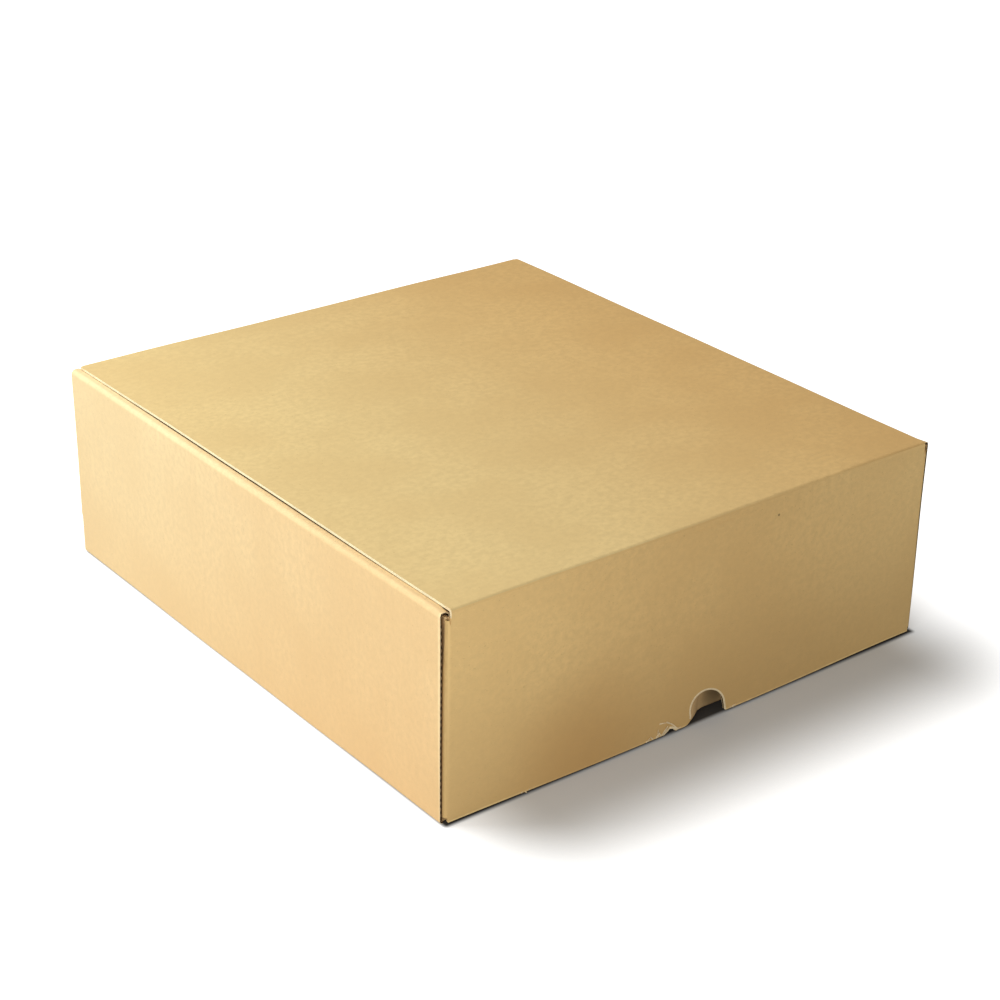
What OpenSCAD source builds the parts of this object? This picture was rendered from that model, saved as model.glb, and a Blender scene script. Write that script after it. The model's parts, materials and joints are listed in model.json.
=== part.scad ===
// Mailer box folded from one sheet of corrugated kraft board.
// The tray's side walls are rolled over and lock into the base, the lid hinges on the back wall,
// and the lid's front flap hangs outside the front wall with its ears tucked into the side walls.
// Millimetres, +Z up, the front faces -Y, and the origin is on the floor under the middle of the box.

/* [Box] */
// Outer width across the two side walls
box_w = 300; // [220:1:420]
// Overall depth, from the face of the front flap to the face of the back wall
box_d = 330; // [250:1:460]
// Overall height, from the floor to the top of the lid
box_h = 108; // [75:1:180]

/* [Board] */
// Thickness of the corrugated board
board_t = 1.3; // [1:0.1:3]
// Inner radius of a plain fold
fold_in = 0.4; // [0.2:0.1:1]
// Inner radius of the two folds that roll a side wall over
roll_in = 1.2; // [0.3:0.1:1.5]
// How far a swinging crease bulges past the board on its inner side
crease_bead = 0.4; // [0.1:0.1:1]
// Clearance between layers that lie on or slide past each other
clearance = 0.2; // [0.15:0.05:0.6]

/* [Corner flaps] */
// Reach of the front and back walls' corner flaps into the side walls
corner_len = 90; // [40:1:110]
// Radius of the free corners of these flaps
corner_r = 12; // [3:1:25]

/* [Locking tabs] */
// Length of each locking tab under an inner side wall
tab_len = 38; // [20:1:60]
// Distance of the tabs from the middle of the side wall
tab_y = 78; // [45:1:85]
// Taper at each end of a tab
tab_taper = 0.8; // [0.2:0.1:2]

/* [Lid] */
// How far the lid lies over each rolled edge
lid_lap = 1.7; // [0.2:0.1:2]
// Length over which the lid narrows towards its rear crease
lid_relief = 6; // [4:1:20]

/* [Front flap] */
// Height of the flap's bottom edge above the floor
flap_rise = 1; // [0.3:0.1:4]
// Height of the ears' bottom edge above the flap's bottom edge
ear_rise = 2.5; // [2:0.5:10]
// Drop from the top of the lid to the flap's shoulders, where it widens past the rolled edges
shoulder_drop = 4.5; // [3:0.5:6]
// Drop from the top of the lid to the top of the ears
ear_drop = 7; // [6.5:0.5:20]
// Reach of the ears behind the face of the flap
ear_len = 15; // [8:0.5:17]
// Radius of the ears' free corner
ear_r = 4; // [1:0.5:6]
// Slack between an ear and the outer side wall
ear_slack = 0.6; // [0.2:0.1:1.5]

/* [Thumb notch] */
// Place of the notch along the flap's bottom edge, from the middle
notch_x = 7; // [-20:1:20]
// Radius of the thumb notch
notch_r = 10.5; // [8:0.5:12]
// Height of the notch above the flap's bottom edge
notch_h = 16; // [14:0.5:22]
// Radius of the worn corner on the left of the notch
worn_r = 5; // [1:0.5:6]
// Radius of the corner on the right of the notch
mouth_r = 1.5; // [0.5:0.5:6]

/* [Torn edge] */
// Place of the tear along the flap's bottom edge, from the middle
tear_x = -17.5; // [-60:0.5:-16]
// Width of the tear
tear_w = 7; // [4:0.5:12]
// Height of the tear
tear_h = 2.4; // [1:0.1:5]

/* [Hidden] */
$fn = 96;

// Overshoot of a cut past the face that it opens
over = 1;

// Outer radii of the folds
fold_out = fold_in + board_t;
roll_out = roll_in + board_t;
crease_r = (board_t + crease_bead) / 2;

// A side wall holds four layers: outer wall, ear, corner flap and inner wall
strip_w = 4 * board_t + ear_slack + 2 * clearance;
half_w = box_w / 2;
wall_x = half_w - board_t;
ear_x = wall_x - ear_slack;
pocket_x = ear_x - board_t - clearance;
inner_x = half_w - strip_w;

// Faces of the walls along the depth
flap_y = -box_d / 2;
front_y = flap_y + board_t + crease_bead + 2 * clearance;
back_y = box_d / 2;
inner_front_y = front_y + board_t + clearance;
inner_back_y = back_y - board_t - clearance;

// Heights of the side walls, of the corner flaps under their rolls and of the inner walls
side_h = box_h - board_t - clearance;
corner_h = side_h - roll_out - clearance;
corner_z = fold_out + clearance;
inner_z = board_t + clearance;

// Creases that the lid and the front flap swing on
crease_z = box_h - crease_r;
crease_half = inner_x - clearance;
crease_foot_z = box_h - 2 * crease_r - clearance;
lid_crease_y = back_y - crease_r;
flap_crease_y = flap_y + crease_r;
lid_half = inner_x + lid_lap;

// Outline of the front flap and its ears
flap_half = ear_x - fold_out;
ear_z = flap_rise + ear_rise;
ear_top_z = box_h - ear_drop;

// The ears' rear edge is struck from the lid's crease, so that they swing out past the rolled edges
ear_arc_r = norm([lid_crease_y - front_y, crease_z - side_h + board_t]) + 2 * clearance;

// Height of the thumb notch's centre above the flap's bottom edge
notch_z = notch_h - notch_r;

kraft_outside = "#c8a36a";
kraft_lid = "#c9a468";
kraft_flap = "#bf9960";

// Section in X and Z, carried along Y from y0 to y1
module along_y(y0, y1) {
    translate([0, y1, 0])
        rotate([90, 0, 0])
            linear_extrude(y1 - y0)
                children();
}

// Section in Y and Z, carried along X from x0 to x1
module along_x(x0, x1) {
    translate([x0, 0, 0])
        rotate([90, 0, 90])
            linear_extrude(x1 - x0)
                children();
}

// Outline in X and Y, carried up from z0 to z1
module along_z(z0, z1) {
    translate([0, 0, z0])
        linear_extrude(z1 - z0)
            children();
}

// The same shape on the right and on the left
module both_sides() {
    children();
    mirror([1, 0, 0])
        children();
}

// Board bent through a right angle about the origin, in the first quadrant
module bend(r_in) {
    intersection() {
        difference() {
            circle(r_in + board_t);
            circle(r_in);
        }
        square(r_in + board_t);
    }
}

// Rectangle between two opposite corners
module panel(low, high) {
    translate(low)
        square(high - low);
}

// Rectangle whose two corners on its far side in X are rounded
module tongue(low, high, r) {
    panel(low, [high.x - r, high.y]);
    panel([low.x, low.y + r], [high.x, high.y - r]);
    for (y = [low.y + r, high.y - r])
        translate([high.x - r, y])
            circle(r);
}

// Right side wall from the base's edge up the outside and over the roll
module rolled_section() {
    translate([half_w - fold_out, fold_out])
        rotate(-90)
            bend(fold_in);
    panel([wall_x, fold_out], [half_w, side_h - roll_out]);
    translate([half_w - roll_out, side_h - roll_out])
        bend(roll_in);
    panel([inner_x + roll_out, side_h - board_t], [half_w - roll_out, side_h]);
    translate([inner_x + roll_out, side_h - roll_out])
        rotate(90)
            bend(roll_in);
}

// Inner side wall in Y and Z, with its locking tabs
module inner_wall_outline() {
    panel([inner_front_y, inner_z], [inner_back_y, side_h - roll_out]);
    for (y = [-tab_y, tab_y])
        translate([y, 0])
            polygon([
                [-tab_len / 2, inner_z],
                [-tab_len / 2 + tab_taper, clearance],
                [tab_len / 2 - tab_taper, clearance],
                [tab_len / 2, inner_z]
            ]);
}

// Base between the folds of the four walls, slotted for the locking tabs
module base() {
    along_z(0, board_t)
        difference() {
            panel([-half_w + fold_out, front_y + fold_out], [half_w - fold_out, back_y - fold_out]);
            both_sides()
                for (y = [-tab_y, tab_y])
                    translate([0, y])
                        panel(
                            [inner_x - clearance, -tab_len / 2 - clearance],
                            [inner_x + board_t + clearance, tab_len / 2 + clearance]
                        );
        }
}

// Front or back wall in X and Z: full height between the rolled edges, lower beside them
module end_wall_outline(half, top_z) {
    panel([-half, fold_out], [half, corner_h]);
    panel([-crease_half, corner_h], [crease_half, top_z]);
}

// Corner flap on the right of the front wall, folded back into the side wall
module front_corner_flap() {
    along_z(corner_z, corner_h)
        translate([pocket_x - fold_out, front_y + fold_out])
            rotate(-90)
                bend(fold_in);
    along_x(pocket_x - board_t, pocket_x)
        tongue([front_y + fold_out, corner_z], [front_y + corner_len, corner_h], corner_r);
}

// Corner flap on the right of the back wall, folded forward into the side wall
module back_corner_flap() {
    along_z(corner_z, corner_h)
        translate([ear_x - fold_out, back_y - fold_out])
            bend(fold_in);
    along_x(ear_x - board_t, ear_x)
        mirror([1, 0])
            tongue([fold_out - back_y, corner_z], [corner_len - back_y, corner_h], corner_r);
}

module front_wall() {
    half = pocket_x - fold_out;
    along_x(-half, half)
        translate([front_y + fold_out, fold_out])
            rotate(180)
                bend(fold_in);
    along_y(front_y, front_y + board_t)
        end_wall_outline(half, side_h);
    both_sides()
        front_corner_flap();
}

module back_wall() {
    half = ear_x - fold_out;
    along_x(-half, half)
        translate([back_y - fold_out, fold_out])
            rotate(-90)
                bend(fold_in);
    along_y(back_y - board_t, back_y)
        end_wall_outline(half, crease_foot_z);
    both_sides()
        back_corner_flap();
}

module side_wall() {
    along_y(front_y, back_y)
        rolled_section();
    along_x(inner_x, inner_x + board_t)
        inner_wall_outline();
}

module tray() {
    color(kraft_outside) {
        base();
        front_wall();
        back_wall();
        both_sides()
            side_wall();
    }
}

// Round bead of a swinging crease, along X
module crease(y, half) {
    translate([-half, y, crease_z])
        rotate([0, 90, 0])
            cylinder(r = crease_r, h = 2 * half);
}

module lid() {
    color(kraft_lid) {
        along_z(box_h - board_t, box_h)
            polygon([
                [-lid_half, flap_crease_y],
                [lid_half, flap_crease_y],
                [lid_half, lid_crease_y - lid_relief],
                [crease_half, lid_crease_y],
                [-crease_half, lid_crease_y],
                [-lid_half, lid_crease_y - lid_relief]
            ]);
        crease(lid_crease_y, crease_half);
        crease(flap_crease_y, lid_half);
    }
}

// What a rounded corner of radius r leaves open on the right of the notch's mouth
module mouth_corner(r) {
    difference() {
        panel([-over, -over], [r, r]);
        translate([r, r])
            circle(r);
    }
}

// Thumb notch, drawn from the flap's bottom edge: a round end on straight sides
module thumb_notch() {
    translate([0, notch_z])
        circle(notch_r);
    panel([-notch_r, -over], [notch_r, notch_z]);
    translate([notch_r, 0])
        mouth_corner(mouth_r);
    translate([-notch_r, 0])
        mirror([1, 0])
            mouth_corner(worn_r);
}

// Ragged bite out of the flap's bottom edge
module tear() {
    polygon([
        [-tear_w / 2, -over],
        [-tear_w / 2, 0],
        [-tear_w / 5, tear_h / 2],
        [0, tear_h],
        [tear_w / 4, tear_h * 2 / 3],
        [tear_w / 2, 0],
        [tear_w / 2, -over]
    ]);
}

// Face of the front flap in X and Z, shouldered at the top to pass the ends of the rolled edges
module flap_outline() {
    difference() {
        polygon([
            [-flap_half, flap_rise],
            [flap_half, flap_rise],
            [flap_half, ear_top_z],
            [lid_half, box_h - shoulder_drop],
            [lid_half, crease_foot_z],
            [-lid_half, crease_foot_z],
            [-lid_half, box_h - shoulder_drop],
            [-flap_half, ear_top_z]
        ]);
        translate([0, flap_rise]) {
            translate([notch_x, 0])
                thumb_notch();
            translate([tear_x, 0])
                tear();
        }
    }
}

// Ear in Y and Z, rounded at its free bottom corner
module ear_outline() {
    end_y = flap_y + ear_len;
    panel([flap_y + fold_out, ear_z], [end_y - ear_r, ear_top_z]);
    panel([flap_y + fold_out, ear_z + ear_r], [end_y, ear_top_z]);
    translate([end_y - ear_r, ear_z + ear_r])
        circle(ear_r);
}

// Right ear, folded back from the edge of the flap
module ear() {
    difference() {
        union() {
            along_z(ear_z, ear_top_z)
                translate([flap_half, flap_y + fold_out])
                    rotate(-90)
                        bend(fold_in);
            along_x(ear_x - board_t, ear_x)
                ear_outline();
        }
        along_x(flap_half - over, ear_x + over)
            translate([lid_crease_y, crease_z])
                circle(ear_arc_r);
    }
}

module front_flap() {
    color(kraft_flap) {
        along_y(flap_y, flap_y + board_t)
            flap_outline();
        both_sides()
            ear();
    }
}

tray();
lid();
front_flap();
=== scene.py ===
import json
import math

import bpy
from bpy.props import FloatProperty, FloatVectorProperty, PointerProperty
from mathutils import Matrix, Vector

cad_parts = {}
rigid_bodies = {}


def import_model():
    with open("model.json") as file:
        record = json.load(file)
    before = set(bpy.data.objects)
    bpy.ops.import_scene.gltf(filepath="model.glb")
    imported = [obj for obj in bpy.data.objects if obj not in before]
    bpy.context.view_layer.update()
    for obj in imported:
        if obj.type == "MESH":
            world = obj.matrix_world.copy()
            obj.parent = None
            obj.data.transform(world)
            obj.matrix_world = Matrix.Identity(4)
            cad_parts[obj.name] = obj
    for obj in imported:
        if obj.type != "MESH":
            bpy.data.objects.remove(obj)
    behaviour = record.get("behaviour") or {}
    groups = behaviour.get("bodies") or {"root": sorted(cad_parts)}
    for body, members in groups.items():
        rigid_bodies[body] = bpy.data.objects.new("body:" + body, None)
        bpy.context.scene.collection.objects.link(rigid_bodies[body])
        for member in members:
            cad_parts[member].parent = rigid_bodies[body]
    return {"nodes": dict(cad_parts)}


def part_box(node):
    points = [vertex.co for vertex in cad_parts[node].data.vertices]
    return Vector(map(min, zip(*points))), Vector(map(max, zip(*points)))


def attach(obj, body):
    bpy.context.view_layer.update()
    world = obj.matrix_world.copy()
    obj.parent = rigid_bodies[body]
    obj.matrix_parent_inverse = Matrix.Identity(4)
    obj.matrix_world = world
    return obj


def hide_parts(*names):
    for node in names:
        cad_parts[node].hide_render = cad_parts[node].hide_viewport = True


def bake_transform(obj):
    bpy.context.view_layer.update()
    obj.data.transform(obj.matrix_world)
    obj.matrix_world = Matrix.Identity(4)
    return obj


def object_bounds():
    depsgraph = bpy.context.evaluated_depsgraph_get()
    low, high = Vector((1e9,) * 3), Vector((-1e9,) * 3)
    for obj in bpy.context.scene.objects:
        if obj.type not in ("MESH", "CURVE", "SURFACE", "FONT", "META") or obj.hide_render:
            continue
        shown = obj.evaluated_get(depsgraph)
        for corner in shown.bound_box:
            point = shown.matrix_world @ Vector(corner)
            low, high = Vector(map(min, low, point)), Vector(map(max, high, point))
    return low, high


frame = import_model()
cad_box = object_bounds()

bl_info = {
    "name": "Corrugated Mailer Box",
    "version": (1, 0, 0),
    "blender": (4, 5, 0),
    "location": "3D View > Sidebar > Mailer Box",
    "description": "Dresses the folded mailer box in kraft board with fluted edges, soft creases and wear",
    "category": "Object",
}

# Lines of the folded sheet that the pieces below share, in metres
TOP_Z = cad_box[1].z
FLAP_Y = cad_box[0].y
BACK_Y = cad_box[1].y
HALF_W = cad_box[1].x
LID_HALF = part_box("lid")[1].x
SIDE_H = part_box("tray")[1].z
FLAP_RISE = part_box("front_flap")[0].z
BOARD_T = 0.0013
FOLD_OUT = 0.0017
ROLL_OUT = 0.0025
FRONT_Y = FLAP_Y + 0.0021
INNER_X = HALF_W - 0.0062
CREASE_HALF = INNER_X - 0.0002
FLAP_HALF = 0.1464
EAR_TOP_Z = 0.101
SHOULDER_Z = 0.1035
NOTCH_X = 0.007
NOTCH_R = 0.0105
NOTCH_Z = FLAP_RISE + 0.0055
TEAR_X = -0.0175

# Where the flat panels end and the bent creases take over
LID_FRONT_Y = FLAP_Y + 0.005
LID_REAR_Y = 0.15815
WIDE_Y = BACK_Y - 0.0021
FLAP_TRIM_Z = 0.1037
BACK_TRIM_Z = 0.1042

# Places that tell one part of a piece from another when its faces and points are picked
SIDE_WALL_X = 0.147
KNOCKED_X = 0.1484
BACK_WALL_Y = 0.1636
NOTCH_FOOT_Z = FLAP_RISE + 0.002
NOTCH_TOP_Z = 0.0180
FLAP_END_X = 0.1463
FLUTES_END_X = 0.1458

# Places closer than this are the same
SAME = 1e-5

# Strips that the panels are cut into across and along, and steps that one flute is drawn in
STRIPS_ACROSS = 22
STRIPS_ALONG = 24
FLUTE_STEPS = 8

# Places of the finishes on a piece's list, after its liner
CUT_EDGE = 1
SHADED_HOLLOW = 2
LID_LINER = 3

# What all lengths and all colours among the settings share
LENGTH = {"precision": 5, "unit": "LENGTH"}
COLOUR = {"size": 3, "min": 0.0, "max": 1.0, "subtype": "COLOR"}


class MailerBoard(bpy.types.PropertyGroup):
    """Sizes of the corrugated board's own detail"""

    liner: FloatProperty(
        name="Liner", description="Thickness of the paper on each side of the flutes",
        default=0.00022, min=0.0001, max=0.0005, **LENGTH)
    medium: FloatProperty(
        name="Medium", description="Thickness of the wavy paper between the liners",
        default=0.00018, min=0.0001, max=0.0005, **LENGTH)
    pitch: FloatProperty(
        name="Flute Pitch", description="Distance from one flute to the next",
        default=0.0034, min=0.002, max=0.008, **LENGTH)
    open_depth: FloatProperty(
        name="Open Depth", description="How far a cut edge is hollow between its liners",
        default=0.0045, min=0.001, max=0.01, **LENGTH)
    rim_depth: FloatProperty(
        name="Rim Depth", description="How far the flap's bottom edge is hollow between its liners",
        default=0.0016, min=0.0005, max=0.003, **LENGTH)
    worn_rim: FloatProperty(
        name="Worn Rim", description="Width of the scuffed paper round the thumb notch and the tear",
        default=0.0010, min=0.0002, max=0.003, **LENGTH)
    fold_r: FloatProperty(
        name="Fold Radius", description="Outer radius of the creases at the lid",
        default=0.0018, min=0.001, max=0.004, **LENGTH)
    warp: FloatProperty(
        name="Warp", description="How far the panels wander from flat",
        default=0.0011, min=0.0, max=0.004, **LENGTH)
    wall_bow: FloatProperty(
        name="Wall Bow", description="How far the front wall is pressed in behind the thumb notch",
        default=0.0050, min=0.0, max=0.008, **LENGTH)
    flap_bow: FloatProperty(
        name="Flap Bow", description="How far the front flap stands out at the middle of its bottom edge",
        default=0.0014, min=0.0, max=0.004, **LENGTH)
    lid_bow: FloatProperty(
        name="Lid Bow", description="How far the lid stands up at the middle of its left edge",
        default=0.0006, min=0.0, max=0.004, **LENGTH)
    notch_wear: FloatProperty(
        name="Notch Wear", description="How far the top of the thumb notch is pressed down",
        default=0.0003, min=0.0, max=0.003, **LENGTH)
    notch_lean: FloatProperty(
        name="Notch Lean", description="How far the thumb notch leans to the left for its height",
        default=0.23, min=0.0, max=0.5)
    ear_lean: FloatProperty(
        name="Ear Lean", description="How far the ears lean in at the top and out at the bottom",
        default=0.0004, min=0.0, max=0.001, **LENGTH)
    roll_curl: FloatProperty(
        name="Roll Curl", description="How much tighter the rolled edges curl at their front ends",
        default=0.0013, min=0.0, max=0.002, **LENGTH)


class MailerColours(bpy.types.PropertyGroup):
    """Colours of the kraft board"""

    # The tray, lid and flap are one kraft board; their liner colours differ as painted light and shade: the
    # tray paler and less saturated, the lid and flap browner
    tray: FloatVectorProperty(
        name="Tray Liner", description="Outside paper of the tray",
        default=(0.80, 0.60, 0.325), **COLOUR)
    lid: FloatVectorProperty(
        name="Lid Liner", description="Outside paper of the lid",
        default=(0.715, 0.515, 0.23), **COLOUR)
    flap: FloatVectorProperty(
        name="Flap Liner", description="Outside paper of the front flap",
        default=(0.80, 0.555, 0.24), **COLOUR)
    edge: FloatVectorProperty(
        name="Cut Edge", description="Cut paper edges and torn fibres",
        default=(0.84, 0.69, 0.44), **COLOUR)
    rim: FloatVectorProperty(
        name="Lid Edge", description="Cut side edges of the lid",
        default=(0.86, 0.80, 0.56), **COLOUR)
    medium: FloatVectorProperty(
        name="Medium", description="Wavy paper inside the board",
        default=(0.46, 0.30, 0.15), **COLOUR)
    # Near black as painted shade: the deep hollows and the inner liners' cut edges get it in place of the
    # paper's own brown
    hollow: FloatVectorProperty(
        name="Hollow", description="Inside of the board between its liners",
        default=(0.085, 0.045, 0.018), **COLOUR)


class MailerStage(bpy.types.PropertyGroup):
    """Floor and light"""

    floor: FloatVectorProperty(
        name="Floor", description="Colour of the studio floor",
        default=(0.62, 0.635, 0.65), **COLOUR)
    key_power: FloatProperty(
        name="Key Power", description="Power of the light behind the box on its left",
        default=5.8, min=0.0, max=200.0, unit="POWER")
    side_power: FloatProperty(
        name="Side Power", description="Power of the soft light in front of the box on its left",
        default=3.3, min=0.0, max=200.0, unit="POWER")
    ambient: FloatProperty(
        name="Ambient", description="Strength of the light from all around",
        default=0.37, min=0.0, max=3.0)


# Modelling helpers

def clear_selection():
    if bpy.context.mode != "OBJECT":
        bpy.ops.object.mode_set(mode="OBJECT")
    bpy.ops.object.select_all(action="DESELECT")


def activate(piece):
    """Leaves only this piece selected, in object mode."""
    clear_selection()
    piece.select_set(True)
    bpy.context.view_layer.objects.active = piece


def edit(piece, mode="FACE"):
    """Opens the piece for editing in one select mode, with its present selection."""
    activate(piece)
    bpy.ops.object.mode_set(mode="EDIT")
    bpy.ops.mesh.select_mode(type=mode)


def edit_all(piece):
    edit(piece)
    bpy.ops.mesh.select_all(action="SELECT")


def close():
    bpy.ops.object.mode_set(mode="OBJECT")


def pick(piece, faces=None, edges=None, verts=None, corners=None):
    """Opens the piece with only what a test accepts selected.

    Faces are tested by centre and normal, edges and verts by place. A test for corners keeps only the faces
    that lie wholly inside it."""
    activate(piece)
    mesh = piece.data
    for group in (mesh.vertices, mesh.edges, mesh.polygons):
        group.foreach_set("select", [False] * len(group))
    chosen = []
    if faces:
        chosen = [p for p in mesh.polygons if faces(p.center, p.normal)]
    if corners:
        chosen = [p for p in chosen if all(corners(mesh.vertices[i].co) for i in p.vertices)]
    if edges:
        chosen = [e for e in mesh.edges if edges(*[mesh.vertices[i].co for i in e.vertices])]
    if verts:
        chosen = [v for v in mesh.vertices if verts(v.co)]
    if not chosen:
        raise RuntimeError(f"nothing to work on in {piece.name}")
    for item in chosen:
        item.select = True
    edit(piece, "FACE" if faces else "EDGE" if edges else "VERT")


def paint(piece, slot):
    """Gives the selected faces one of the piece's finishes."""
    piece.active_material_index = slot
    bpy.ops.object.material_slot_assign()


def paint_faces(piece, slot, faces, corners=None):
    """Gives the chosen faces one of the piece's finishes."""
    pick(piece, faces=faces, corners=corners)
    paint(piece, slot)
    close()


def move(piece, verts, push):
    """Moves the chosen points."""
    pick(piece, verts=verts)
    bpy.ops.transform.translate(value=push)
    close()


def modify(piece, kind, **settings):
    """Adds a modifier with these settings and applies it."""
    activate(piece)
    made = piece.modifiers.new(kind.lower(), kind)
    for key, value in settings.items():
        setattr(made, key, value)
    bpy.ops.object.modifier_apply(modifier=made.name)


def join(pieces, name):
    activate(pieces[0])
    for piece in pieces:
        piece.select_set(True)
    bpy.ops.object.join()
    pieces[0].name = name
    pieces[0].data.name = name
    return pieces[0]


def settle(piece, location=(0.0, 0.0, 0.0), rotation=(0.0, 0.0, 0.0)):
    """Turns and moves a piece, and keeps its place in its mesh."""
    activate(piece)
    piece.rotation_euler = rotation
    piece.location = location
    bpy.ops.object.transform_apply(location=True, rotation=True, scale=True)


def board_from(node, name):
    """A merged copy of a solid of the frame, opened up for editing."""
    piece = bpy.data.objects.new(name, frame["nodes"][node].data.copy())
    bpy.context.collection.objects.link(piece)
    piece.data.name = name
    edit_all(piece)
    bpy.ops.mesh.remove_doubles(threshold=0.000001)
    bpy.ops.mesh.dissolve_limited(angle_limit=math.radians(0.5))
    bpy.ops.mesh.customdata_custom_splitnormals_clear()
    close()
    return piece


def trim(point, outward):
    """Cuts the selected faces off beyond a plane and closes the cut."""
    bpy.ops.mesh.bisect(
        plane_co=point, plane_no=outward, clear_outer=True, use_fill=True, threshold=0.0000001)


def slice_up(piece, axis, places):
    """Lays edge loops across the piece, so that its panels can bend."""
    for place in places:
        edit_all(piece)
        bpy.ops.mesh.bisect(plane_co=Vector.Fill(3, place), plane_no=axis, threshold=0.000002)
        close()


def steps(low, high, count):
    return [low + (high - low) * (i + 0.5) / count for i in range(count)]


def open_flutes(piece, faces, push):
    """Hollows the chosen cut faces between their liners; push is the way in, or a depth along the normals."""
    liner = bpy.context.scene.mailer_board.liner
    pick(piece, faces=faces)
    paint(piece, CUT_EDGE)
    bpy.ops.mesh.inset(thickness=liner, use_even_offset=True, use_boundary=True)
    if isinstance(push, float):
        bpy.ops.mesh.extrude_region_shrink_fatten(TRANSFORM_OT_shrink_fatten={"value": -push})
    else:
        bpy.ops.mesh.extrude_region_move(TRANSFORM_OT_translate={"value": push})
    bpy.ops.mesh.select_more()
    # The hollow's faces get the near-black hollow colour, as painted shade
    paint(piece, SHADED_HOLLOW)
    close()


def warp_field():
    """One wandering field for the whole sheet, so that its panels still meet."""
    field = bpy.data.textures.get("board_warp")
    if field is None:
        field = bpy.data.textures.new("board_warp", "CLOUDS")
        field.cloud_type = "COLOR"
        field.noise_scale = 0.11
        field.noise_depth = 1
    return field


def relax(piece):
    """Lets the finished shape wander a little from flat and true, then smooths its folds."""
    modify(
        piece, "DISPLACE", texture=warp_field(), texture_coords="LOCAL", direction="RGB_TO_XYZ",
        space="LOCAL", mid_level=0.5, strength=bpy.context.scene.mailer_board.warp)
    bpy.ops.object.shade_smooth_by_angle(angle=math.radians(32))
    modify(piece, "WEIGHTED_NORMAL", keep_sharp=True)


def give(piece, *finishes):
    piece.data.materials.clear()
    for finish in finishes:
        piece.data.materials.append(finish)


def press(piece, verts, push, reach):
    """Pushes the chosen points, and what lies within reach of them less and less."""
    pick(piece, verts=verts)
    bpy.ops.transform.translate(
        value=push, use_proportional_edit=True, proportional_edit_falloff="SMOOTH", proportional_size=reach)
    close()


def bow_out(piece):
    """Lets the middle of the flap's bottom edge stand away from the front wall."""
    middle_x, half, reach = -0.005, 0.035, 0.10

    def at_foot(place):
        on_panel = place.y < FLAP_Y + 1.2 * BOARD_T and place.z < NOTCH_Z + NOTCH_R
        return abs(place.x - middle_x) < half and on_panel

    press(piece, at_foot, (0.0, -bpy.context.scene.mailer_board.flap_bow, 0.0), reach)


def leaned(z):
    """How far the thumb notch leans at a height."""
    return bpy.context.scene.mailer_board.notch_lean * max(z - NOTCH_FOOT_Z, 0.0)


def arc(x, y, radius, start, end, count):
    """Points on an arc, with its angles in degrees."""
    turns = [math.radians(start + (end - start) * i / count) for i in range(count + 1)]
    return [Vector((x + radius * math.cos(a), y + radius * math.sin(a))) for a in turns]


def straight(start, end, count):
    """Points between two ends, which are left out."""
    start, end = Vector(start), Vector(end)
    return [start.lerp(end, i / count) for i in range(1, count)]


# Finishes

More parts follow.
